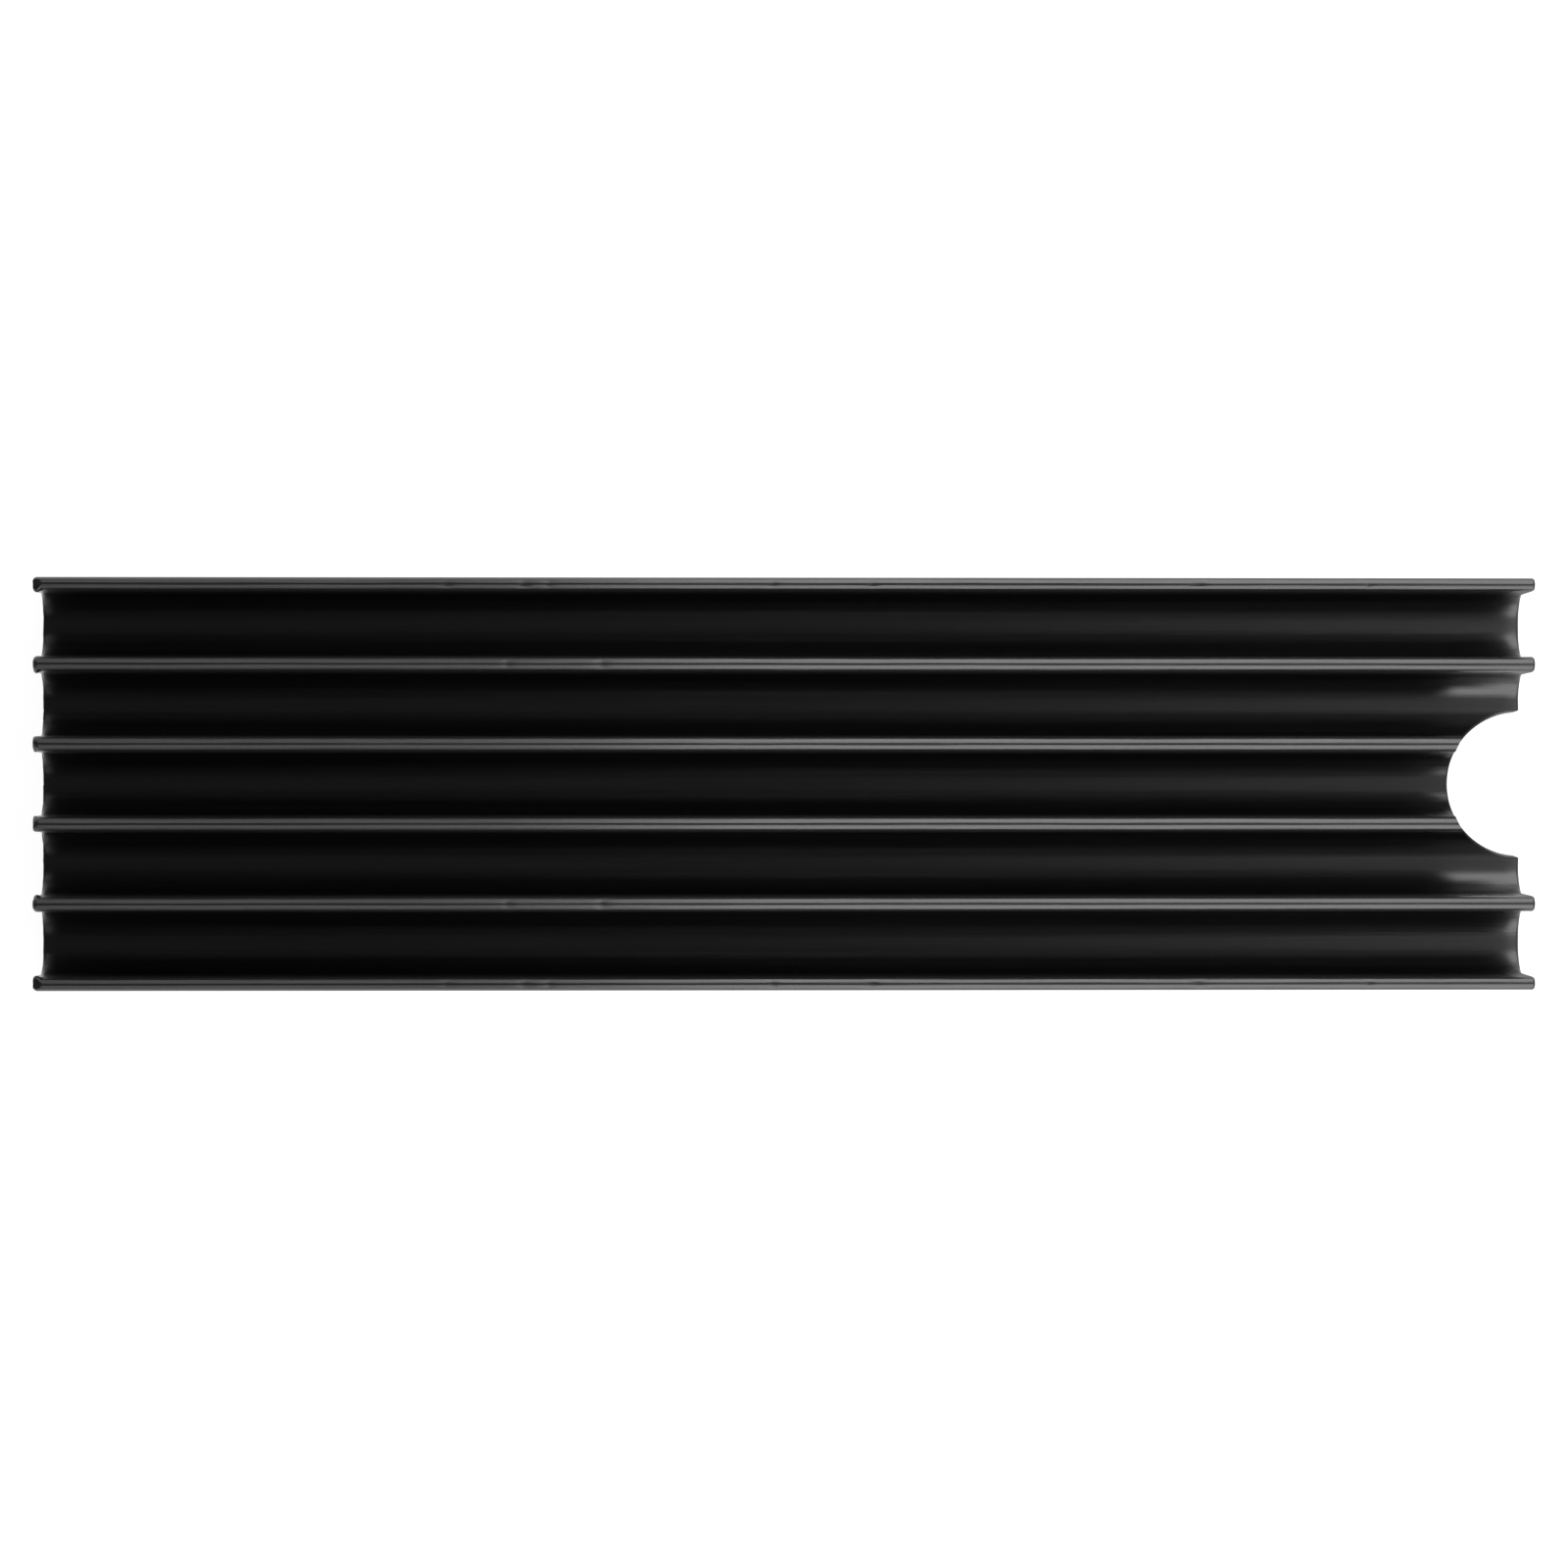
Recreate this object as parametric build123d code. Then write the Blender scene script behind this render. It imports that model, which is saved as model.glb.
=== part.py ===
from build123d import *

import math
import os

# Finned heat sink for a flat memory board, one extruded bar of aluminium.
# Origin at the centre of the flat contact face, +X along the bar to the screw notch, +Z up the fins.
# All lengths are in millimetres, all angles in degrees.

# Bar as sawn to length
LENGTH = 80.0
WIDTH = 22.0
BASE_THICKNESS = 2.0
FOOT_RADIUS = 0.3

# Fins, measured at the tip, and the lean of each channel wall from the vertical
FIN_COUNT = 6
FIN_HEIGHT = 6.0
INNER_FIN_TIP = 0.8
OUTER_FIN_TIP = 0.7
FIN_DRAFT = 1.0
TIP_LAND = 0.05

# Round at the bottom of each channel, and the narrowest flat that is left between its two rounds
CHANNEL_RADIUS = 1.5
CHANNEL_LAND = 0.1

# Sharp edge taken off both sawn ends and off the notch
EDGE_BREAK = 0.1

# Half-round screw notch in the +X end. The fins lean back from it, by the setback at their tips
NOTCH_RADIUS = 3.9
FIN_SETBACK = 0.7
CUTTER_OVERRUN = 1.0

# The notch's upper broken edge runs on this far above the channel floor, before the fins lean back
RIM_RISE = 0.01

# Worked out from the sizes above
HEIGHT = BASE_THICKNESS + FIN_HEIGHT
FIN_PITCH = (WIDTH - OUTER_FIN_TIP) / (FIN_COUNT - 1)
WALL_LEAN = FIN_HEIGHT * math.tan(math.radians(FIN_DRAFT))


def fin_centre(index):
    """Place across the bar of the tip of one fin, counted from the -Y side."""
    return (index - (FIN_COUNT - 1) / 2) * FIN_PITCH


def fin_tip(index):
    """Thickness of one fin at its tip. The two outermost fins are thinner."""
    outermost = index in (0, FIN_COUNT - 1)
    return OUTER_FIN_TIP if outermost else INNER_FIN_TIP


def channel(index):
    """Section of the space between two neighbouring fins, with its round bottom."""
    left = fin_centre(index) + fin_tip(index) / 2
    right = fin_centre(index + 1) - fin_tip(index + 1) / 2
    floor_left = left + WALL_LEAN
    floor_right = right - WALL_LEAN
    outline = Polyline(
        (left, HEIGHT),
        (floor_left, BASE_THICKNESS),
        (floor_right, BASE_THICKNESS),
        (right, HEIGHT),
        close=True,
    )
    space = make_face(outline)
    widest_round = (floor_right - floor_left - CHANNEL_LAND) / 2
    return fillet(space.vertices().group_by(Axis.Y)[0], min(CHANNEL_RADIUS, widest_round))


def round_fin_tips(section):
    """Rounds both corners of every fin tip until only a narrow land is left between them."""
    for index in range(FIN_COUNT):
        tip = fin_tip(index)
        corners = [
            corner
            for corner in section.vertices().group_by(Axis.Y)[-1]
            if abs(corner.X - fin_centre(index)) < FIN_PITCH / 2
        ]
        section = fillet(corners, (tip - TIP_LAND) / 2)
    return section


def bar_section():
    """Cross-section of the extrusion: a flat foot with round edges, and the fins above it."""
    section = Pos(0, HEIGHT / 2) * Rectangle(WIDTH, HEIGHT)
    for index in range(FIN_COUNT - 1):
        section -= channel(index)
    section = fillet(section.vertices().group_by(Axis.Y)[0], FOOT_RADIUS)
    return round_fin_tips(section)


def sawn_bar():
    """The section drawn out to its length, with the edges of both sawn ends broken."""
    start = Plane(origin=(-LENGTH / 2, 0, 0), x_dir=(0, 1, 0), z_dir=(1, 0, 0))
    bar = extrude(start * bar_section(), amount=LENGTH)
    ends = bar.faces().filter_by(Axis.X)
    return chamfer(ends.edges(), EDGE_BREAK)


def notch_cutter():
    """What the cutter removes: the notch through the base, its broken edges and the lean of the fins."""
    outline = Polyline(
        (0, -CUTTER_OVERRUN),
        (NOTCH_RADIUS + EDGE_BREAK, -CUTTER_OVERRUN),
        (NOTCH_RADIUS + EDGE_BREAK, 0),
        (NOTCH_RADIUS, EDGE_BREAK),
        (NOTCH_RADIUS, BASE_THICKNESS - EDGE_BREAK),
        (NOTCH_RADIUS + EDGE_BREAK + RIM_RISE, BASE_THICKNESS + RIM_RISE),
        (NOTCH_RADIUS + FIN_SETBACK, HEIGHT),
        (NOTCH_RADIUS + FIN_SETBACK, HEIGHT + CUTTER_OVERRUN),
        (0, HEIGHT + CUTTER_OVERRUN),
        close=True,
    )
    profile = Plane.XZ * make_face(outline)
    return Pos(LENGTH / 2, 0, 0) * revolve(profile, Axis.Z)


def heatsink_body():
    """The finished bar."""
    return sawn_bar() - notch_cutter()


os.makedirs("parts", exist_ok=True)
export_step(heatsink_body(), "parts/heatsink_body.step")
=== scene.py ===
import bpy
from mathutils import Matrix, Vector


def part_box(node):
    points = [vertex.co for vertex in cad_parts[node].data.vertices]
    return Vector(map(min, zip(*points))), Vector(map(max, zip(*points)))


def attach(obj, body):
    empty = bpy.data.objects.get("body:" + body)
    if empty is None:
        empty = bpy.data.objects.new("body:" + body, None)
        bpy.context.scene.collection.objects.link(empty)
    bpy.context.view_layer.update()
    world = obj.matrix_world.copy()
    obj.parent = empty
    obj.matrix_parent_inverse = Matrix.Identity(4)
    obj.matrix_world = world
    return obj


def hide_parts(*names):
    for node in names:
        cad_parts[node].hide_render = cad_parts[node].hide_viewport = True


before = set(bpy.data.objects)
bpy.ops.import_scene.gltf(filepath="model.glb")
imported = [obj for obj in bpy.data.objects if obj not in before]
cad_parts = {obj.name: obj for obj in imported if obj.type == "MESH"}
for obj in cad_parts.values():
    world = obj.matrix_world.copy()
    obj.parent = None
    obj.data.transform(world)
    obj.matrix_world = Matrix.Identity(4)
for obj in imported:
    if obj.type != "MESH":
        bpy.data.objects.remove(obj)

"""Black anodised heat sink for a flat memory board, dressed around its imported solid.

Sizes in the fields are millimetres and meshes are metres, in the part's own frame: +X along the bar
to the screw notch, +Y across the fins, +Z up the fins, origin at the centre of the contact face.
"""

import logging
import math
from dataclasses import dataclass, field
from enum import Enum
from typing import Any, Sequence

import bpy
import numpy as np
from mathutils import Matrix, Vector

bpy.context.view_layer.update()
NODE = "heatsink_body"
BRUSHED = "brushed"
MM = 0.001
log = logging.getLogger("heatsink")


class Side(Enum):
    """Which long side of the bar a light or a flaw belongs to."""

    LEFT = -1
    RIGHT = 1


def smoothstep(low: float, high: float, values: np.ndarray) -> np.ndarray:
    """Ease from 0 at low to 1 at high, as 3 t squared minus 2 t cubed, in either direction."""
    t = np.clip((values - low) / (high - low), 0.0, 1.0)
    return t * t * (3.0 - 2.0 * t)


def bump_at(values: np.ndarray, centre: float, half_width: float) -> np.ndarray:
    """Bell of height 1 about a centre, as e to the minus square of the distance in half widths."""
    return np.exp(-(((values - centre) / half_width) ** 2))


def linear_colour(code: str) -> tuple[float, float, float, float]:
    """Turn an sRGB hex code into linear colour.

    Args:
        code: six hex digits after a hash mark.

    Returns:
        Linear red, green and blue, and an alpha of 1.
    """
    srgb = np.array([int(code[i : i + 2], 16) for i in (1, 3, 5)]) / 255.0
    linear = np.where(srgb <= 0.04045, srgb / 12.92, ((srgb + 0.055) / 1.055) ** 2.4)
    return (*(float(c) for c in linear), 1.0)


def add_node(tree: bpy.types.NodeTree, kind: str, settings: dict[str, Any] | None = None,
             links: dict[str | int, Any] | None = None) -> bpy.types.Node:
    """Add one shader node with its settings and links.

    Args:
        tree: node tree that takes the node.
        kind: Blender's type name of the node.
        settings: value for each property or input socket, by name. A number names a socket by place.
        links: output socket that feeds each input socket, by name or by place.

    Returns:
        The new node.
    """
    node = tree.nodes.new(kind)
    for name, value in (settings or {}).items():
        if isinstance(name, str) and hasattr(node, name):
            setattr(node, name, value)
        else:
            node.inputs[name].default_value = value
    for name, socket in (links or {}).items():
        tree.links.new(socket, node.inputs[name])
    return node


@dataclass(frozen=True)
class FinSection:
    """Cross-section of the bar, as the die draws it."""

    width: float
    height: float
    base_thickness: float = 2.0
    foot_radius: float = 0.3
    fin_count: int = 6
    inner_fin_tip: float = 0.8
    outer_fin_tip: float = 0.7
    fin_draft: float = math.radians(1.0)
    crest_radius: float = 0.22
    crest_turn: float = math.radians(20.0)
    channel_radius: float = 1.5
    crest_steps: int = 2
    tip_steps: int = 6
    wall_steps: int = 4
    channel_steps: int = 8

    @property
    def pitch(self) -> float:
        """Distance from one fin to the next."""
        return (self.width - self.outer_fin_tip) / (self.fin_count - 1)

    def centre(self, index: int) -> float:
        """Place of one fin across the bar, counted from the -Y side."""
        return (index - (self.fin_count - 1) / 2) * self.pitch

    def tip(self, index: int) -> float:
        """Thickness of one fin at its tip."""
        return self.outer_fin_tip if index in (0, self.fin_count - 1) else self.inner_fin_tip

    def round_centres(self, index: int) -> tuple[float, float]:
        """Places across the bar of the two round centres at the bottom of a channel.

        Each lies one radius off its leaning wall, which is the radius over the cosine of the lean
        across, and moves with the wall as it leans by its tangent down to the centre's height.

        Args:
            index: fin on the -Y side of the channel.

        Returns:
            The centre by the -Y wall and the centre by the +Y wall.
        """
        depth = self.height - self.base_thickness - self.channel_radius
        offset = depth * math.tan(self.fin_draft) + self.channel_radius / math.cos(self.fin_draft)
        left = self.centre(index) + self.tip(index) / 2 + offset
        right = self.centre(index + 1) - self.tip(index + 1) / 2 - offset
        return left, right

    @staticmethod
    def arc(y: float, z: float, radius: float, angles: np.ndarray) -> np.ndarray:
        """Points on a circle about (y, z), as the cosine and sine of each angle times the radius."""
        return np.stack([y + radius * np.cos(angles), z + radius * np.sin(angles)], axis=1)

    def channel(self, index: int, through: np.ndarray) -> np.ndarray:
        """Round bottom of one channel, from its -Y wall to its +Y wall.

        Two quarter rounds with the base's flat between them. Besides even steps of angle, a point
        stands at every place across that is asked for, where the angle is the arc cosine of its
        distance from the round's centre over the radius.

        Args:
            index: fin on the -Y side of the channel.
            through: places across the bar that need a point of their own.

        Returns:
            Points as rows of y and z.
        """
        radius = self.channel_radius
        lift = self.base_thickness + radius
        rounds = []
        spans = ((math.pi + self.fin_draft, 1.5 * math.pi), (1.5 * math.pi, 2 * math.pi - self.fin_draft))
        for centre, (start, stop) in zip(self.round_centres(index), spans):
            reach = (through - centre) / radius
            own = 2 * math.pi - np.arccos(reach[np.abs(reach) < 1.0])
            own = own[(own > start) & (own < stop)]
            angles = np.unique(np.concatenate([np.linspace(start, stop, self.channel_steps + 1), own]))
            rounds.append(self.arc(centre, lift, radius, angles))
        flat = through[(through > rounds[0][-1, 0]) & (through < rounds[1][0, 0])]
        floor = np.stack([np.sort(flat), np.full(len(flat), self.base_thickness)], axis=1)
        return np.concatenate([rounds[0], floor, rounds[1]])

    def fin_tip(self, index: int) -> np.ndarray:
        """Round tip of one fin, from its -Y wall to its +Y wall.

        On each side a tight round at the crest runs on into a wider one, down to where it meets the
        wall. Along a round the way across is its radius times the sine of the turn from upright, and
        the way down its radius times one minus the cosine. The wide radius is what then ends on the
        wall, which leans out from the half tip by its tangent. The bar's outer walls don't lean.

        Args:
            index: the fin.

        Returns:
            Points as rows of y and z.
        """
        crest, turn = self.crest_radius, self.crest_turn
        reach, drop = crest * math.sin(turn), crest * (1.0 - math.cos(turn))
        points = []
        for side in Side:
            outer = {0: Side.LEFT, self.fin_count - 1: Side.RIGHT}.get(index)
            lean = 0.0 if side is outer else self.fin_draft
            left_over = self.tip(index) / 2 + math.tan(lean) * drop - reach
            share = math.cos(lean) - math.sin(turn) - math.tan(lean) * (math.cos(turn) - math.sin(lean))
            wide = left_over / share
            tight = np.linspace(0.0, turn, self.crest_steps + 1)
            rest = np.linspace(turn, math.pi / 2 - lean, self.tip_steps + 1)[1:]
            beyond = reach + wide * (np.sin(rest) - math.sin(turn))
            below = drop + wide * (math.cos(turn) - np.cos(rest))
            across = np.concatenate([crest * np.sin(tight), beyond])
            down = np.concatenate([crest * (1 - np.cos(tight)), below])
            flank = np.stack([self.centre(index) + side.value * across, self.height - down], axis=1)
            points.append(flank[::-1] if side is Side.LEFT else flank[1:])
        return np.concatenate(points)

    def outline(self, through: np.ndarray) -> tuple[np.ndarray, np.ndarray]:
        """Walk the contour from one foot over the fins to the other foot.

        Args:
            through: places across the bar at which a channel gets a point of its own.

        Returns:
            Points as rows of y and z, and the outward normal at each, which is the walk's direction
            turned a quarter turn to its left.
        """
        foot_angles = np.linspace(math.pi / 2, 0.0, self.wall_steps)
        foot = self.arc(0.0, 0.0, self.foot_radius, foot_angles) * (-1, -1)
        foot += (self.foot_radius - self.width / 2, self.foot_radius)
        stretches = [foot]
        for index in range(self.fin_count):
            stretches.append(self.fin_tip(index))
            if index < self.fin_count - 1:
                stretches.append(self.channel(index, through))
        stretches.append(foot[::-1] * (-1, 1))
        walk = [stretches[0]]
        for before, after in zip(stretches, stretches[1:]):
            share = np.linspace(0, 1, self.wall_steps + 2)[1:-1, None]
            walk += [before[-1] + share * (after[0] - before[-1]), after]
        points = np.concatenate(walk)
        ahead = np.gradient(points, axis=0)
        ahead /= np.linalg.norm(ahead, axis=1, keepdims=True)
        normals = np.stack([-ahead[:, 1], ahead[:, 0]], axis=1)
        normals[[0, -1]] = (0.0, -1.0)
        return points, normals


@dataclass(frozen=True)
class ScrewNotch:
    """Half-round notch in the +X end, from which the fins lean back."""

    radius: float = 3.9
    fin_setback: float = 0.7
    arc_steps: int = 40
    lean_steps: int = 4

    def lean(self, z: np.ndarray, section: FinSection, edge: float) -> np.ndarray:
        """Radius of the notch at a height, which grows evenly from the rim to the fin tips.

        Args:
            z: heights above the contact face.
            section: the bar's section.
            edge: width of the broken edge on the rim.

        Returns:
            Radius at each height.
        """
        share = (z - section.base_thickness) / (section.height - section.base_thickness)
        return self.radius + edge + np.clip(share, 0.0, 1.0) * (self.fin_setback - edge)

    def places(self, edge: float) -> np.ndarray:
        """Places across the bar of even angles on the rim, so that it looks round."""
        return (self.radius + edge) * np.sin(np.linspace(-math.pi / 2, math.pi / 2, self.arc_steps + 1))


@dataclass(frozen=True)
class Nick:
    """Small dent in the tip of a fin, the same on the fin that mirrors it.

    Its half width is a share of the fin's thickness at the tip.
    """

    along: float
    fin: int
    half_length: float
    depth: float
    half_width: float = 0.25


@dataclass(frozen=True)
class EndBurr:
    """Metal that the saw pushed over at the plain end of one fin and the fin that mirrors it.

    Reach is its length along the bar, and grown the share of it at which the burr is full. Swell is
    how far the inner side bulges, crest how far below the tip and spread over which half height. Inner
    is where across the fin the inner side begins, in half tips from its middle. Press flattens the
    tip, corner bends its inner edge down, nose rounds its end, and droop is how far the last of the
    tip falls away. The last three start at one height below the top and are full at another.
    """

    fin: int
    reach: float
    swell: float
    crest: float
    press: float = 0.0
    corner: float = 0.0
    nose: float = 0.0
    droop: float = 0.0
    grown: float = 0.35
    spread: float = 0.45
    inner: float = -0.5
    heights: tuple[float, float] = (1.3, 0.5)
    corner_power: float = 0.7
    nose_reach: float = 0.25
    nose_power: int = 4
    droop_reach: float = 0.22
    droop_power: float = 1.6


@dataclass(frozen=True)
class Footprint:
    """Outline of what stands on the table: a rectangle about the middle, with a notch in its +X end."""

    half_length: float
    half_width: float
    notch_centre: float
    notch_radius: float

    def directions(self, steps: int) -> np.ndarray:
        """Directions round the middle that catch every corner and the notch's curve.

        Even steps all round, the corners at the arc tangent of the half width over the half length, and
        even steps along the notch's circle up to the direction that only touches it, the arc sine of its
        radius over its distance, with one more just past that.

        Args:
            steps: points on half a turn, and on half the notch.

        Returns:
            Angles from 0 to two pi.
        """
        touch, just_past, digits = math.asin(self.notch_radius / self.notch_centre), 1e-5, 9
        swing = np.linspace(0.0, math.pi / 2 - touch, steps)
        beside, before = self.notch_radius * np.sin(swing), self.notch_radius * np.cos(swing)
        notch = np.arctan2(beside, self.notch_centre - before)
        corner = math.atan2(self.half_width, self.half_length)
        turns = [touch + just_past, corner, math.pi - corner]
        half = np.concatenate([notch, turns, np.linspace(0.0, math.pi, steps)])
        return np.unique(np.round(np.concatenate([half, 2 * math.pi - half]), digits))

    def reach(self, around: np.ndarray) -> np.ndarray:
        """How far the outline lies from the middle in each direction.

        The lesser of the half length over the cosine and the half width over the sine. Where the
        notch's circle is met first it is the centre's distance times the cosine, less the root of the
        radius squared minus the square of that distance times the sine.

        Args:
            around: directions as angles.

        Returns:
            One distance for each direction.
        """
        cosine, sine, least = np.cos(around), np.sin(around), 1e-9
        straight = np.minimum(self.half_length / np.maximum(np.abs(cosine), least),
                              self.half_width / np.maximum(np.abs(sine), least))
        inside = self.notch_radius**2 - (self.notch_centre * sine) ** 2
        circle = self.notch_centre * cosine - np.sqrt(np.clip(inside, 0.0, None))
        return np.where((inside > 0.0) & (cosine > 0.0), np.minimum(circle, straight), straight)


@dataclass
class HeatSinkBar:
    """The one piece of the cooler: an extruded bar, sawn, notched, deburred and anodised.

    Roll is how the channel floors fall away at the notched end: its length and depth, the heights over
    the floor between which it fades, and how far from the notch it becomes full. Brush is how far the
    dulling reaches, the share of that where it is full, and how close to the outer walls there is none.
    Saw is how far the sawn edge wanders and how far in that goes, and its waves by share, rate across
    and shift. Tucked is the share of a broken edge's width and of a foot's radius that the table
    reaches in under. The tail is the stretch before the notch, and begins some setbacks ahead of it.
    Extra is how many more stations a millimetre gets beside a nick, over its spread, and at the sawn
    end, over its fade.
    """

    length: float
    section: FinSection
    notch: ScrewNotch = field(default_factory=ScrewNotch)
    edge: float = 0.1
    edge_depth: float = 0.06
    edge_steps: int = 2
    roll_length: float = 0.75
    roll_depth: float = 0.075
    roll_heights: tuple[float, float] = (0.02, 0.3)
    roll_ease: float = 0.8
    brush_reach: float = 2.0
    brush_full: float = 0.1
    brush_margin: float = 0.05
    saw_wander: float = 0.035
    saw_reach: float = 0.6
    saw_waves: Sequence[tuple[float, float, float]] = (
        (0.2, 5.1, 0.0), (0.15, 11.3, 1.0), (0.15, 23.7, 2.0))
    sharp_angle: float = math.radians(42.0)
    flat_weight: int = 60
    join_digits: int = 5
    tucked_share: float = 0.8
    tail_setbacks: float = 1.5
    tail_steps: int = 14
    tail_power: float = 2.2
    station_samples: int = 20001
    station_spacing: float = 0.36
    extra_by_nick: float = 9.0
    nick_spread: float = 1.4
    extra_by_saw: float = 22.0
    saw_fade: float = 0.5
    burrs: Sequence[EndBurr] = (
        EndBurr(fin=5, reach=0.50, swell=0.15, crest=0.20, press=0.11, nose=0.10, droop=0.07),
        EndBurr(fin=4, reach=0.42, swell=0.16, crest=0.75, nose=0.09, droop=0.05),
        EndBurr(fin=3, reach=0.26, swell=0.05, crest=0.30, corner=0.16, droop=0.02),
    )
    nicks: Sequence[Nick] = (
        Nick(along=-18.0, fin=5, half_length=0.30, depth=0.030),
        Nick(along=-13.9, fin=5, half_length=0.35, depth=0.035),
        Nick(along=-12.6, fin=5, half_length=0.25, depth=0.025),
        Nick(along=-0.7, fin=5, half_length=0.20, depth=0.030),
        Nick(along=4.6, fin=5, half_length=0.28, depth=0.035),
        Nick(along=22.0, fin=5, half_length=0.40, depth=0.030),
        Nick(along=31.1, fin=5, half_length=0.18, depth=0.030),
        Nick(along=-14.8, fin=4, half_length=0.25, depth=0.030),
        Nick(along=-9.8, fin=4, half_length=0.25, depth=0.030),
    )

    def stations(self) -> np.ndarray:
        """Places along the bar at which the section is set, closer together where it is worn.

        The closeness is one over the spacing, plus a bell about each nick and a fall from the plain
        end. Its running sum is cut into equal parts.

        Returns:
            Distances from the plain end, from the broken edge to where the notch begins.
        """
        start = self.edge
        stop = self.length - self.notch.radius - self.tail_setbacks * self.notch.fin_setback
        fine = np.linspace(start, stop, self.station_samples)
        closeness = np.full_like(fine, 1.0 / self.station_spacing)
        for nick in self.nicks:
            beside = bump_at(fine, nick.along + self.length / 2, self.nick_spread * nick.half_length)
            closeness += self.extra_by_nick * beside
        closeness += self.extra_by_saw * np.exp(-fine / self.saw_fade)
        total = np.concatenate([[0.0], np.cumsum((closeness[1:] + closeness[:-1]) / 2 * np.diff(fine))])
        return np.interp(np.linspace(0.0, total[-1], int(total[-1]) + 1), total, fine)

    def skin(self) -> tuple[np.ndarray, slice]:
        """The whole surface but its flat underside, as a grid of points.

        One parameter walks the contour of the section. The other walks a closed way round the bar at
        that point of the contour: from the underside up the plain end, along the bar, then down the
        notched end. A broken edge runs straight from the end's edge width back to its depth down. At
        the notch the way stops where the circle of the height's radius r is, at the root of r squared
        minus y squared from the end, follows that lean down to the floor, and goes on down the wall.

        Returns:
            Points in millimetres as an array of contour by way by three, and the part of the way that
            runs along the bar.
        """
        half, edge, notch, section = self.length / 2, self.edge, self.notch, self.section
        outline, normals = section.outline(notch.places(edge))
        y, z = outline.T
        under = np.clip(y, section.foot_radius - section.width / 2, section.width / 2 - section.foot_radius)
        share = np.linspace(0.0, 1.0, self.edge_steps + 1)
        along, inset = edge * (1 - share), self.edge_depth * share

        def broken(end: int) -> tuple[np.ndarray, np.ndarray]:
            """Broken edges of one end, on the contour and on the underside, from the bar outwards."""
            x = np.broadcast_to(end * (half - along), (len(y), len(share)))
            over = [outline[:, i, None] - normals[:, i, None] * inset for i in (0, 1)]
            low = np.broadcast_to(inset, x.shape)
            return np.stack([x, *over], axis=2), np.stack([x, under[:, None] + 0 * x, low], axis=2)

        def stop(heights: np.ndarray) -> np.ndarray:
            """Where the bar ends along X, at the notch or at the sawn end, for heights over the contour."""
            reach = notch.lean(heights, section, edge) ** 2 - y[:, None] ** 2
            return half - np.maximum(np.sqrt(np.clip(reach, 0.0, None)), edge)

        plain_over, plain_under = broken(-1)
        over, underside = broken(1)
        in_rim = np.abs(y) < notch.radius + edge
        floor = np.where(in_rim, np.minimum(z, section.base_thickness), z)

        stations = self.stations() - half
        tail = 1.0 - np.linspace(1.0, 0.0, self.tail_steps + 1)[1:] ** self.tail_power
        x_tail = stations[-1] + tail * (stop(z[:, None]) - stations[-1])
        x_main = np.concatenate([np.broadcast_to(stations, (len(y), len(stations))), x_tail], axis=1)
        main = np.stack([x_main, y[:, None] + 0 * x_main, z[:, None] + 0 * x_main], axis=2)

        down = np.linspace(0.0, 1.0, notch.lean_steps + 1)[1:]
        heights = z[:, None] + down * (floor - z)[:, None]
        leaning = np.stack([stop(heights), y[:, None] + 0 * heights, heights], axis=2)
        swing = np.arcsin(np.clip(y / (notch.radius + edge), -1.0, 1.0))[:, None]
        radius = notch.radius + along
        x_round, y_round = half - radius * np.cos(swing), radius * np.sin(swing)
        rim = np.stack([x_round, y_round, floor[:, None] - inset], axis=2)
        foot = np.stack([x_round, y_round, inset + 0 * swing], axis=2)
        over = np.where(in_rim[:, None, None], rim, over)
        underside = np.where(in_rim[:, None, None], foot, underside)

        way = [plain_under, plain_over[:, ::-1], main[:, 1:], leaning, over[:, 1:], underside[:, ::-1]]
        first = plain_under.shape[1] + plain_over.shape[1] - 1
        return np.concatenate(way, axis=1), slice(first, first + main.shape[1])

    def wear(self, points: np.ndarray) -> np.ndarray:
        """Push the skin about where the saw, the tumbler and handling left their marks.

        A nick lowers a tip by a bell along the fin times a bell across it. A burr moves the inner side
        of a fin towards the middle of the bar by a bell over its height times an ease towards the
        plain end, and cuts the tip off level. By powers, it bends the tip's inner edge down towards the
        plain end, lets the last of the tip droop there, and draws the sides of its end back with the
        distance across. The channel floors roll off at the notched end, by the square of the share of
        the roll's length. The plain end wanders by a half plus a sum of sines.

        Args:
            points: the skin in millimetres.

        Returns:
            The worn skin.
        """
        x, y, z = (points[..., i].copy() for i in range(3))
        top, end, across = self.section.height, self.length / 2, np.abs(points[..., 1])
        for nick in self.nicks:
            tip = self.section.tip(nick.fin)
            over = bump_at(across, self.section.centre(nick.fin), nick.half_width * tip)
            dent = bump_at(x, nick.along, nick.half_length) * over
            z -= nick.depth * dent * smoothstep(top - tip, top, z)
        for burr in self.burrs:
            centre = self.section.centre(burr.fin)
            half_tip = self.section.tip(burr.fin) / 2
            near = np.abs(across - centre) < 2 * half_tip
            high = smoothstep(top - burr.heights[0], top - burr.heights[1], z) * near
            away = np.clip((x + end) / burr.reach, 0.0, 1.0)
            close = smoothstep(1.0, burr.grown, away)
            offside = (centre - across) / half_tip
            inner = smoothstep(burr.inner, 1.0, offside)
            y -= np.sign(y) * burr.swell * bump_at(z, top - burr.crest, burr.spread) * inner * close * near
            z = np.where(near, np.minimum(z, top - burr.press * close), z)
            z -= burr.corner * high * inner * (1.0 - away) ** burr.corner_power
            fallen = np.clip(1.0 - (x + end) / burr.droop_reach, 0.0, 1.0) ** burr.droop_power
            z -= burr.droop * high * fallen
            sides = np.clip(np.abs(offside), 0.0, 1.0) ** burr.nose_power
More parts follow.
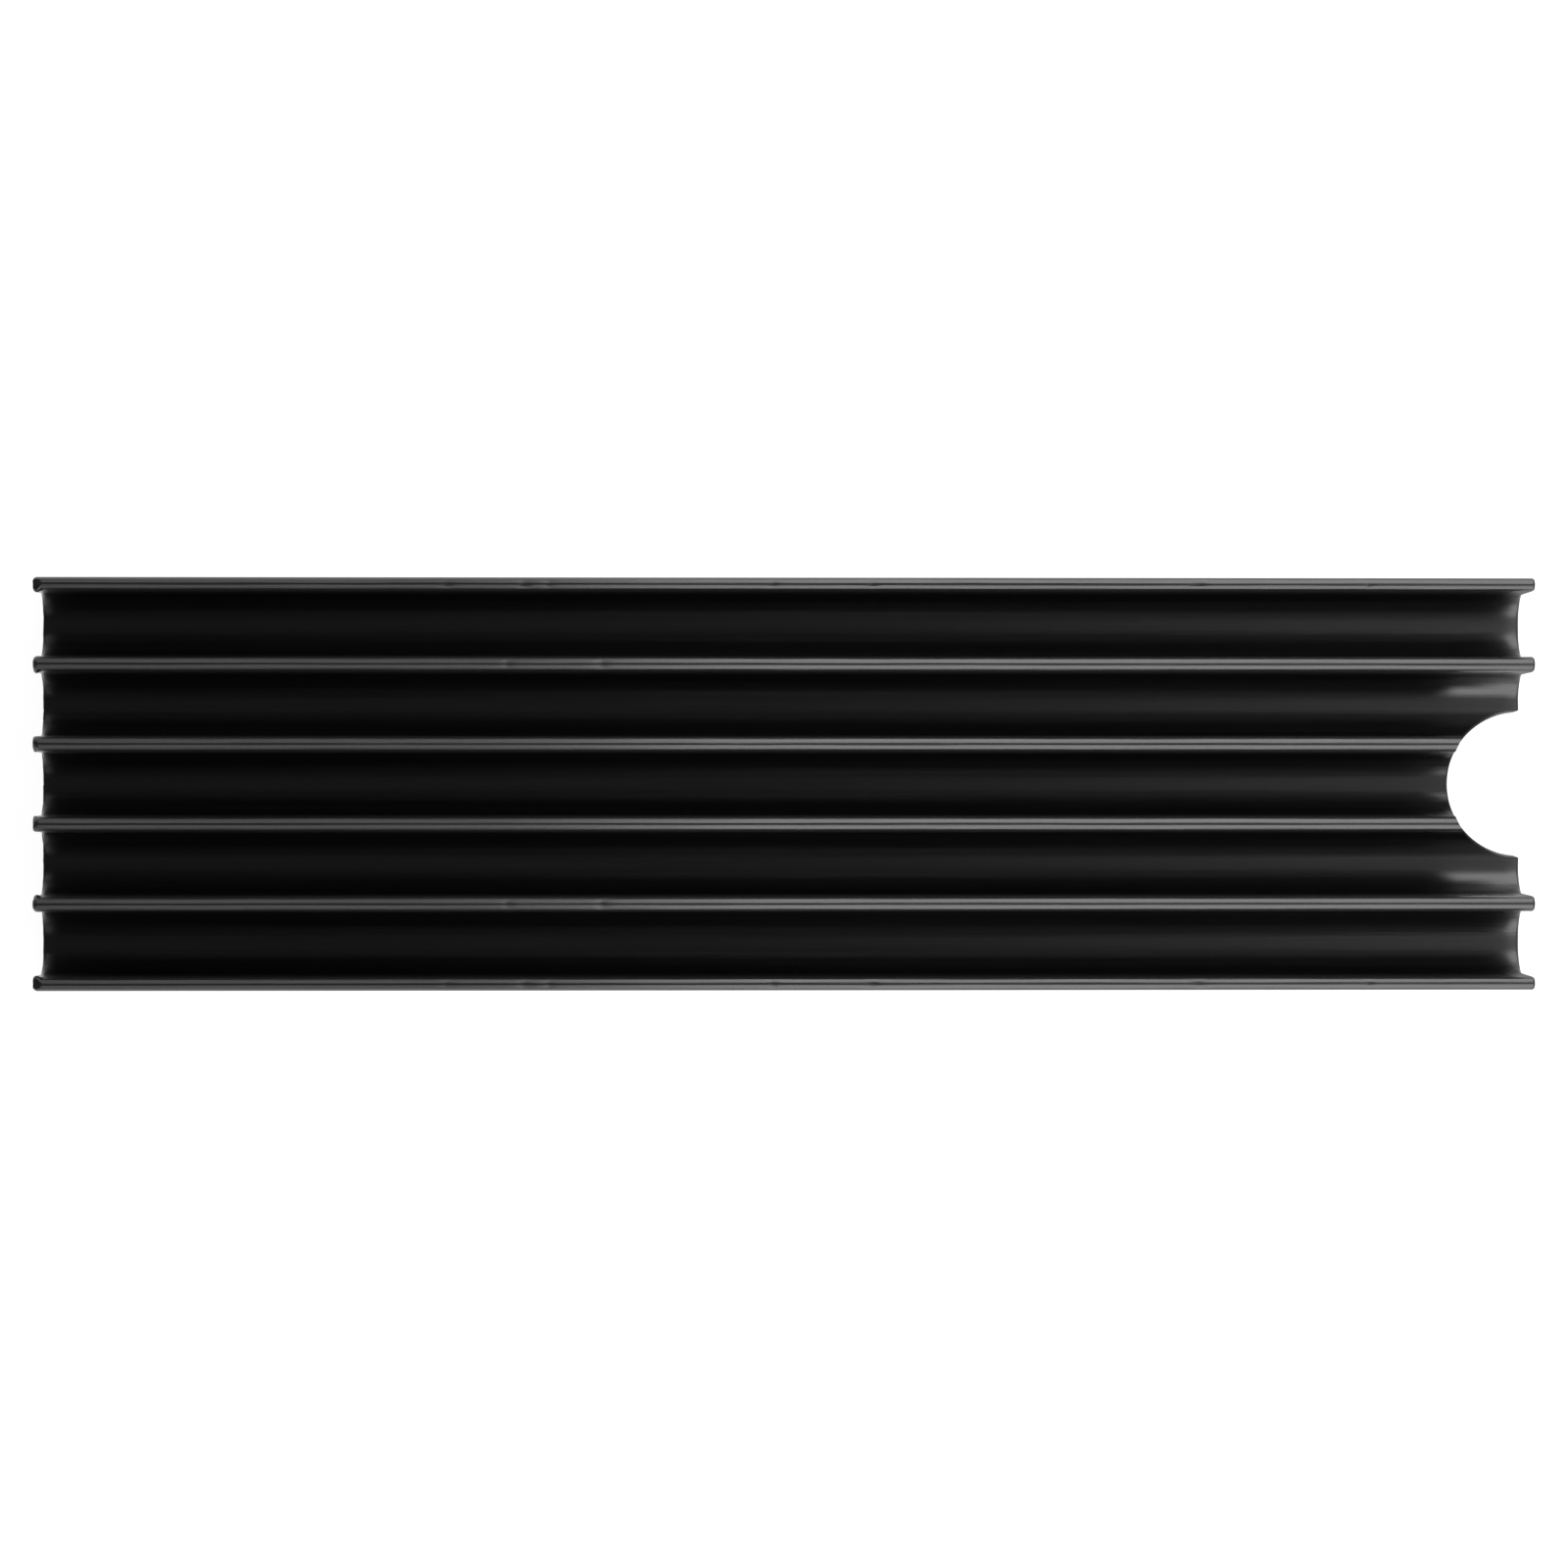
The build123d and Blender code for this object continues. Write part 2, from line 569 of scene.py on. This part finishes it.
            x += burr.nose * high * sides * smoothstep(burr.nose_reach, 0.0, x + end)
        base = self.section.base_thickness
        low = 1.0 - smoothstep(base + self.roll_heights[0], base + self.roll_heights[1], z)
        clear = smoothstep(self.notch.radius, self.notch.radius + self.roll_ease, across)
        past = np.clip((x - end + self.roll_length) / self.roll_length, 0.0, 1.0)
        z -= self.roll_depth * past**2 * low * clear * (z > 0.5 * base)
        ripple = sum((rise * np.sin(rate * y + shift) for rise, rate, shift in self.saw_waves), 0.5)
        x += self.saw_wander * ripple * smoothstep(self.saw_reach - end, -end, x)
        return np.stack([x, y, z], axis=-1)

    def brushed(self, points: np.ndarray) -> np.ndarray:
        """How much the deburring brush touched each point, from 1 at a cut to 0 at its reach.

        Only the milled end was brushed, between the fins. The distance from a cut is the lesser of
        what is left to that end and what is left to the circle that the fins' tips leave at the notch.

        Args:
            points: rows of X, Y and Z in millimetres.

        Returns:
            One share for each point.
        """
        to_end = self.length / 2 - points[:, 0]
        away = np.hypot(points[:, 0] - self.length / 2, points[:, 1])
        to_notch = away - self.notch.radius - self.notch.fin_setback
        between = np.abs(points[:, 1]) < self.section.width / 2 - self.brush_margin
        nearest = np.minimum(to_end, to_notch)
        return between * smoothstep(self.brush_reach, self.brush_full * self.brush_reach, nearest)

    def mesh(self) -> bpy.types.Mesh:
        """Join the skin and the flat underside into one closed mesh.

        Grid cells become four-sided faces. Points closer than a hundred-thousandth of a millimetre
        are one vertex, and faces that lose a corner or a side that way become three-sided or go.

        Returns:
            The mesh, in metres, with its faces outwards and the brush's share at each vertex.
        """
        grid, along_bar = self.skin()
        count, ways = grid.shape[:2]
        worn = self.wear(grid).reshape(-1, 3)
        rounded = np.round(worn, self.join_digits)
        _, first, shared = np.unique(rounded, axis=0, return_index=True, return_inverse=True)
        ids = shared.reshape(count, ways)
        corners = np.stack([ids[:-1, :-1], ids[:-1, 1:], ids[1:, 1:], ids[1:, :-1]], axis=-1).reshape(-1, 4)
        kept = corners != np.roll(corners, 1, axis=1)
        quads = corners[kept.all(axis=1)]
        folded = corners[kept.sum(axis=1) == 3]
        triangles = folded[kept[kept.sum(axis=1) == 3]].reshape(-1, 3)
        crossed = (quads[:, 0] == quads[:, 2]) | (quads[:, 1] == quads[:, 3])
        quads = quads[~crossed]

        border = np.concatenate([ids[:, 0], ids[-1, along_bar], ids[::-1, -1], ids[0, along_bar][::-1]])
        border = border[border != np.roll(border, 1)]
        mesh = bpy.data.meshes.new(NODE + "_worn")
        faces = quads.tolist() + triangles.tolist() + [border.tolist()]
        mesh.from_pydata((worn[first] * MM).tolist(), [], faces)
        share = mesh.attributes.new(BRUSHED, "FLOAT", "POINT")
        share.data.foreach_set("value", self.brushed(worn[first]).astype(np.float32))
        mesh.update()
        return mesh

    def footprint(self) -> Footprint:
        """Outline on the table just outside the flat, hidden under the broken edges and rounded feet."""
        half, section = self.length / 2, self.section
        by_edge, by_foot = self.tucked_share * self.edge, self.tucked_share * section.foot_radius
        return Footprint(half - by_edge, section.width / 2 - by_foot, half, self.notch.radius + by_edge)

    def build(self, finish: "BlackAnodisedAluminium") -> bpy.types.Object:
        """Make the dressed bar in place of the plain solid.

        Args:
            finish: what its surface is made of.

        Returns:
            The finished object.
        """
        mesh = self.mesh()
        mesh.shade_smooth()
        mesh.set_sharp_from_angle(angle=self.sharp_angle)
        mesh.materials.append(finish.build())
        bar = bpy.data.objects.new("anodised_bar", mesh)
        bpy.context.scene.collection.objects.link(bar)
        flats = bar.modifiers.new("flat_faces_stay_flat", "WEIGHTED_NORMAL")
        flats.weight = self.flat_weight
        flats.keep_sharp = True
        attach(bar, "root")
        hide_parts(NODE)
        return bar


@dataclass(frozen=True)
class Grain:
    """Smooth pattern: how long its grains are along X, Y and Z, its seed and how high it stands.

    The seed times the shifts moves the pattern along the axes, so that no two are alike.
    """

    sizes: tuple[float, float, float]
    seed: float
    depth: float = 0.0
    shifts: tuple[float, float, float] = (1.0, 1.7, 2.3)
    detail: float = 2.0

    def noise(self, tree: bpy.types.NodeTree, place: Any) -> Any:
        """Lay the pattern out in a material.

        Args:
            tree: node tree of the material.
            place: socket of the object coordinates.

        Returns:
            Socket of the noise, about 0.5 in the middle.
        """
        scaled = add_node(tree, "ShaderNodeMapping", {
            "Scale": [1.0 / (size * MM) for size in self.sizes],
            "Location": [shift * self.seed for shift in self.shifts]}, {"Vector": place})
        return add_node(tree, "ShaderNodeTexNoise", {"Scale": 1.0, "Detail": self.detail},
                        {"Vector": scaled.outputs[0]}).outputs[0]


@dataclass(frozen=True)
class BlackAnodisedAluminium:
    """Extruded aluminium, etched and anodised black: a thin dyed oxide, dark and satin.

    The oxide is a clear mineral coloured in its pores, so it mirrors like glass of its own index and
    hides the metal under it. Etching leaves the sheen soft, and the die leaves fine lines along it.
    The metal takes the dye unevenly, in streaks along its grain. The deburring brush dulls the walls
    of the fins where it comes in past a cut. Facing is how squarely a face has to look along X to be
    sawn, or along Y to be a wall: where that starts and where it is full.
    """

    colours: tuple[str, str] = ("#1B1B1B", "#292929")
    oxide_ior: float = 1.65
    roughness: tuple[float, float] = (0.22, 0.27)
    brushed_roughness: float = 0.55
    # The lines and the etch of a real bar are about 0.02 mm fine, too fine to show. Both are drawn
    # about a pixel of the main render wide here, which is 0.05 mm.
    lines: Grain = Grain((8.0, 0.06, 0.06), seed=0.0, depth=0.010)
    etch: Grain = Grain((0.05, 0.05, 0.05), seed=7.7, depth=0.0006)
    ripples: Grain = Grain((1.6, 0.30, 0.30), seed=3.1, depth=0.0012)
    saw_lines: Grain = Grain((1.0, 5.0, 0.12), seed=5.3, depth=0.006)
    sheen: Grain = Grain((6.0, 0.5, 0.5), seed=11.9)
    streaks: Grain = Grain((30.0, 0.35, 0.35), seed=17.3)
    noise_range: tuple[float, float] = (0.3, 0.7)
    sawn_facing: tuple[float, float] = (0.6, 0.8)
    wall_facing: tuple[float, float] = (0.80, 0.98)

    def build(self) -> bpy.types.Material:
        """Make the material.

        The die's lines and slower ripples run along X. Where the surface faces along X it was sawn
        instead, so the lines there cross the bar.

        Returns:
            The material, with its patterns on object coordinates.
        """
        material = bpy.data.materials.new("satin_black_anodised_aluminium")
        material.use_nodes = True
        tree = material.node_tree
        tree.nodes.clear()
        where = add_node(tree, "ShaderNodeTexCoord").outputs
        place = where["Object"]
        facing = add_node(tree, "ShaderNodeSeparateXYZ", links={0: where["Normal"]}).outputs
        turned, upright = (
            add_node(tree, "ShaderNodeMath", {"operation": "ABSOLUTE"}, {0: facing[i]}).outputs[0]
            for i in (0, 1))
        start, full = self.sawn_facing
        sawn = add_node(tree, "ShaderNodeMapRange", {"From Min": start, "From Max": full},
                        {0: turned}).outputs[0]
        drawn = add_node(tree, "ShaderNodeMath", {"operation": "SUBTRACT", 0: 1.0}, {1: sawn}).outputs[0]
        standing = (self.lines, self.ripples, self.saw_lines, self.etch)
        patterns = {grain: grain.noise(tree, place) for grain in standing}
        relief = None
        for grain, mask in zip((self.ripples, self.lines, self.saw_lines, self.etch),
                               (drawn, drawn, sawn, None)):
            pattern = patterns[grain]
            if mask:
                pattern = add_node(tree, "ShaderNodeMath", {"operation": "MULTIPLY"}, {
                    0: pattern, 1: mask}).outputs[0]
            links = {"Height": pattern} | ({"Normal": relief} if relief else {})
            relief = add_node(tree, "ShaderNodeBump", {"Strength": 1.0, "Distance": grain.depth * MM},
                              links).outputs[0]
        low, high = self.noise_range
        soft = add_node(tree, "ShaderNodeMapRange", {
            "From Min": low, "From Max": high, "To Min": self.roughness[0], "To Max": self.roughness[1]},
            {0: self.sheen.noise(tree, place)}).outputs[0]
        start, full = self.wall_facing
        walls = add_node(tree, "ShaderNodeMapRange", {
            "From Min": start, "From Max": full, "To Max": self.brushed_roughness}, {
            0: upright}).outputs[0]
        brush = add_node(tree, "ShaderNodeAttribute", {"attribute_name": BRUSHED}).outputs["Fac"]
        dulled = add_node(tree, "ShaderNodeMath", {"operation": "MULTIPLY"}, {
            0: walls, 1: brush}).outputs[0]
        soft = add_node(tree, "ShaderNodeMath", {"operation": "MAXIMUM"}, {
            0: soft, 1: dulled}).outputs[0]
        uptake = add_node(tree, "ShaderNodeMapRange", {"From Min": low, "From Max": high}, {
            0: self.streaks.noise(tree, place)}).outputs[0]
        dark, pale = (linear_colour(code) for code in self.colours)
        dye = add_node(tree, "ShaderNodeMixRGB", {"Color1": dark, "Color2": pale}, {0: uptake}).outputs[0]
        surface = add_node(tree, "ShaderNodeBsdfPrincipled", {"IOR": self.oxide_ior, "Metallic": 0.0},
                           {"Base Color": dye, "Roughness": soft, "Normal": relief})
        add_node(tree, "ShaderNodeOutputMaterial", links={"Surface": surface.outputs["BSDF"]})
        return material


@dataclass(frozen=True)
class SoftBox:
    """Flat studio light with a plain even face.

    Brightness is its face's against a white sheet's, which is 1.
    """

    name: str
    centre: tuple[float, float, float]
    size: tuple[float, float]
    brightness: float
    aim: tuple[float, float, float]

    def build(self) -> bpy.types.Object:
        """Make the light, turned to its aim. Its power is brightness times area times pi."""
        lamp = bpy.data.lights.new(self.name, "AREA")
        lamp.shape = "RECTANGLE"
        lamp.size, lamp.size_y = (side * MM for side in self.size)
        lamp.energy = self.brightness * lamp.size * lamp.size_y * math.pi
        light = bpy.data.objects.new(self.name, lamp)
        centre = Vector(self.centre)
        light.location = centre * MM
        light.rotation_euler = (Vector(self.aim) - centre).to_track_quat("-Z", "Y").to_euler()
        light.visible_camera = False
        bpy.context.scene.collection.objects.link(light)
        return light


@dataclass(frozen=True)
class SidePanel:
    """Stretch of light along both long sides, from start to stop along X and from low to high."""

    start: float
    stop: float
    low: float
    high: float
    brightness: float


@dataclass
class Studio:
    """White table that rises into a low white wall all round, soft lights and a dim room above.

    The table is open under the part, so that the two never share a plane and the underside shows
    from below. Its rings lie at shares of the way out over the flat.
    """

    footprint: Footprint
    table_radius: float = 1200.0
    wall_height: float = 260.0
    wall_round: float = 200.0
    table_steps: int = 61
    ring_shares: Sequence[float] = (0.05, 0.2, 0.5, 1.0)
    bend_steps: int = 12
    card_colour: str = "#F2F2F2"
    shadow_colour: str = "#8C8C8C"
    card_glow: float = 0.95
    room_brightness: float = 0.08
    end_lights: Sequence[SoftBox] = (
        SoftBox("end_light", (108.0, 0.0, 82.0), (92.0, 80.0), brightness=0.75, aim=(30.0, 0.0, 4.0)),
        SoftBox("high_light", (150.0, 0.0, 480.0), (300.0, 150.0), brightness=0.62, aim=(0.0, 0.0, 4.0)),
    )
    corner_centre: tuple[float, float, float] = (84.0, 48.0, 104.0)
    corner_size: tuple[float, float] = (44.0, 50.0)
    corner_brightness: float = 1.2
    aim_height: float = 8.0
    side_distance: float = 75.0
    side_panels: Sequence[SidePanel] = (
        SidePanel(start=-60.0, stop=-8.0, low=7.0, high=42.0, brightness=0.3),
        SidePanel(start=-60.0, stop=-8.0, low=42.0, high=99.0, brightness=1.0),
        SidePanel(start=-8.0, stop=88.0, low=7.0, high=99.0, brightness=3.0),
    )

    def lights(self) -> list[SoftBox]:
        """Panels along each long side, one light past the notched end and one high above.

        Returns:
            The lights. The panels by the plain end are the dimmer ones, and a short one leans in over
            each row at the notched end.
        """
        lights = list(self.end_lights)
        along, out, up = self.corner_centre
        for side in Side:
            name = side.name.lower()
            lights.append(SoftBox(f"corner_light_{name}", (along, side.value * out, up), self.corner_size,
                                  self.corner_brightness, (along, 0.0, self.aim_height)))
            for number, panel in enumerate(self.side_panels):
                middle = (panel.start + panel.stop) / 2
                centre = (middle, side.value * self.side_distance, (panel.low + panel.high) / 2)
                size = (panel.stop - panel.start, panel.high - panel.low)
                lights.append(SoftBox(f"side_light_{name}_{number}", centre, size, panel.brightness,
                                      (middle, 0.0, self.aim_height)))
        return lights

    def table_mesh(self) -> bpy.types.Mesh:
        """Disc with a raised rim, as rings about the part, open inside the part's footprint.

        The radius runs from the footprint out over the flat and then round a quarter circle, as its
        sine outwards and one minus its cosine upwards, and straight up from there.

        Returns:
            The mesh, in metres.
        """
        around = self.footprint.directions(self.table_steps)
        flat = np.array(self.ring_shares) * (self.table_radius - self.wall_round)
        bend = np.linspace(0.0, math.pi / 2, self.bend_steps + 1)[1:]
        rings = np.concatenate([flat, flat[-1] + self.wall_round * np.sin(bend), [self.table_radius]])
        rise = self.wall_round * (1 - np.cos(bend))
        height = np.concatenate([[0.0], 0 * flat, rise, [self.wall_height]])
        radius = np.concatenate([self.footprint.reach(around)[None], rings[:, None] + 0 * around])
        x, y = radius * np.cos(around), radius * np.sin(around)
        grid = np.stack([x, y, height[:, None] + 0 * around], axis=-1)
        ids = np.arange(grid.shape[0] * grid.shape[1]).reshape(grid.shape[:2])
        faces = np.stack([ids[:-1, :-1], ids[1:, :-1], ids[1:, 1:], ids[:-1, 1:]], axis=-1).reshape(-1, 4)
        mesh = bpy.data.meshes.new("white_table")
        mesh.from_pydata((grid.reshape(-1, 3) * MM).tolist(), [], faces.tolist())
        mesh.validate()
        mesh.shade_smooth()
        return mesh

    def table_material(self) -> bpy.types.Material:
        """Matt white card that the camera and reflections see as white, apart from the part's shadow."""
        material = bpy.data.materials.new("matt_white_card")
        material.use_nodes = True
        tree = material.node_tree
        tree.nodes.clear()
        path = add_node(tree, "ShaderNodeLightPath")
        shadow = add_node(tree, "ShaderNodeBsdfDiffuse", {"Color": linear_colour(self.shadow_colour)})
        glow = add_node(tree, "ShaderNodeEmission", {
            "Color": (1.0, 1.0, 1.0, 1.0), "Strength": self.card_glow})
        seen = add_node(tree, "ShaderNodeAddShader", links={0: shadow.outputs[0], 1: glow.outputs[0]})
        lit = add_node(tree, "ShaderNodeBsdfDiffuse", {"Color": linear_colour(self.card_colour)})
        glossy = add_node(tree, "ShaderNodeMath", {"operation": "MAXIMUM"}, {
            0: path.outputs["Is Camera Ray"], 1: path.outputs["Is Glossy Ray"]})
        direct = add_node(tree, "ShaderNodeMath", {"operation": "MAXIMUM"}, {
            0: glossy.outputs[0], 1: path.outputs["Is Transmission Ray"]})
        card = add_node(tree, "ShaderNodeMixShader", links={
            0: direct.outputs[0], 1: lit.outputs[0], 2: seen.outputs[0]})
        add_node(tree, "ShaderNodeOutputMaterial", links={"Surface": card.outputs[0]})
        return material

    def build(self) -> None:
        """Make the table, the lights and the room."""
        mesh = self.table_mesh()
        mesh.materials.append(self.table_material())
        table = bpy.data.objects.new("white_table", mesh)
        bpy.context.scene.collection.objects.link(table)
        for light in self.lights():
            light.build()
        room = bpy.data.worlds.new("dim_room")
        room.use_nodes = True
        background = room.node_tree.nodes["Background"]
        background.inputs["Color"].default_value = (1.0, 1.0, 1.0, 1.0)
        background.inputs["Strength"].default_value = self.room_brightness
        bpy.context.scene.world = room


@dataclass(frozen=True)
class OverheadCamera:
    """Camera above the bar, a little towards its plain end, which looks down at its middle."""

    place: tuple[float, float, float] = (-9.0, 0.0, 326.0)
    aim: tuple[float, float, float] = (0.045, 0.0, 2.0)
    lens: float = 137.3
    sensor: float = 36.0
    nearest: float = 10.0
    farthest: float = 10000.0

    def build(self) -> bpy.types.Object:
        """Make the camera and set it as the scene's."""
        data = bpy.data.cameras.new("overhead_camera")
        data.lens, data.sensor_width = self.lens, self.sensor
        data.clip_start, data.clip_end = self.nearest * MM, self.farthest * MM
        camera = bpy.data.objects.new("overhead_camera", data)
        camera.location = Vector(self.place) * MM
        down = (Vector(self.aim) - Vector(self.place)).normalized()
        level = Vector((0.0, 1.0, 0.0))
        right = down.cross(level).normalized()
        up = right.cross(down)
        camera.matrix_world = Matrix((
            (right.x, up.x, -down.x, camera.location.x),
            (right.y, up.y, -down.y, camera.location.y),
            (right.z, up.z, -down.z, camera.location.z),
            (0.0, 0.0, 0.0, 1.0)))
        bpy.context.scene.collection.objects.link(camera)
        bpy.context.scene.camera = camera
        return camera


def main() -> None:
    """Build the bar, the studio and the camera."""
    logging.basicConfig(level=logging.INFO, format="%(name)s: %(message)s")
    low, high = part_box(NODE)
    length, width, height = ((high[i] - low[i]) / MM for i in range(3))
    section = FinSection(width=width, height=height)
    heat_sink = HeatSinkBar(length=length, section=section)
    bar = heat_sink.build(BlackAnodisedAluminium())
    log.info("%s has %d faces", bar.name, len(bar.data.polygons))
    Studio(footprint=heat_sink.footprint()).build()
    OverheadCamera().build()
    bpy.context.scene.view_settings.view_transform = "Standard"
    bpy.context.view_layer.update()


if __name__ == "__main__":
    main()
